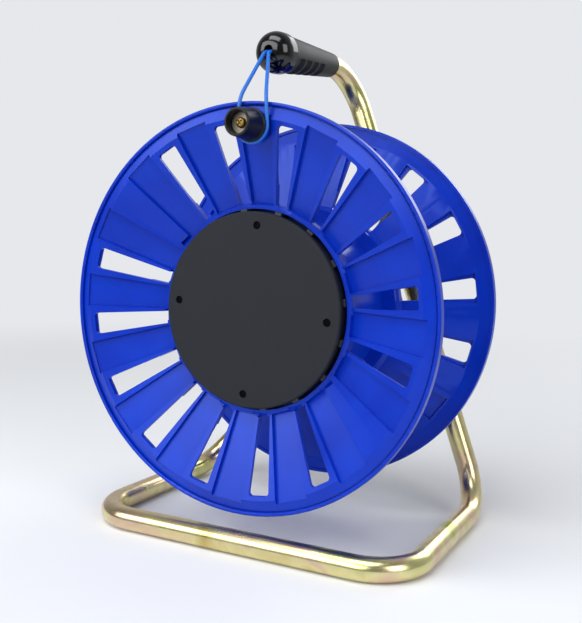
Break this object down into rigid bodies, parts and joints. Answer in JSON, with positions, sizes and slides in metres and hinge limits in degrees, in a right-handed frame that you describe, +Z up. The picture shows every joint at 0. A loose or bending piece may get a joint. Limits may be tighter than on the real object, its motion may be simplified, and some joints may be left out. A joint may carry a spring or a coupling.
{
  "type": "cable winder",
  "caption": "Empty cable drum with windowed dished flanges, turned by a crank knob on a bent-tube stand with a carrying grip and a parking strap.",
  "frame": {"origin": "on the floor, under the middle of the whole object", "axes": "+Z up, drum's axis along Y, cover and crank knob face -Y"},
  "size_m": [0.32, 0.2344, 0.4135],
  "materials": {
    "zinc_steel": "yellow-chromated zinc",
    "grip_rubber": "matt",
    "cap_plastic": "gloss",
    "steel": "bright zinc",
    "drum_plastic": "semi-gloss",
    "hub_plastic": "matt",
    "cover_plastic": "matt, fine grain",
    "bearing_plastic": "natural",
    "knob_plastic": "satin",
    "brass": "bright",
    "strap_cord": "satin"
  },
  "bodies": {
    "root": {"tube_frame": "zinc_steel", "grip": "grip_rubber", "grip_cap": "cap_plastic", "strap_pin": "steel", "axle": "steel", "axle_spacer": "steel", "saddle_washer": "steel", "axle_nut": "steel", "brace_bolt": "steel", "brace_nut": "steel", "thrust_washer": "steel", "retaining_ring": "steel"},
    "drum": {"front_flange": "drum_plastic", "rear_flange": "drum_plastic", "barrel": "drum_plastic", "hub_housing": "hub_plastic", "hub_cover": "cover_plastic", "cover_screws": "steel", "housing_screws": "steel", "rear_hub": "hub_plastic", "rear_hub_screws": "steel", "front_bearing": "bearing_plastic", "rear_bearing": "bearing_plastic", "knob_sleeve": "steel", "knob_washer": "steel", "knob_screw": "brass", "knob_nut": "steel"},
    "knob": {"crank_knob": "knob_plastic"},
    "strap": {"strap": "strap_cord"}
  },
  "joints": [
    {"name": "drum_spin", "type": "hinge", "parent": "root", "child": "drum", "pos_m": [0, -0.02845, 0.1905], "axis": [0, 1, 0], "continuous": true},
    {"name": "knob_spin", "type": "hinge", "parent": "drum", "child": "knob", "pos_m": [0.00925, -0.09845, 0.3317], "axis": [0, 1, 0], "continuous": true},
    {"name": "strap_swing", "type": "hinge", "parent": "root", "child": "strap", "pos_m": [0, -0.05297, 0.3941], "axis": [-1, 0, 0], "range_deg": [0, 60], "deforming": ["strap"]}
  ]
}
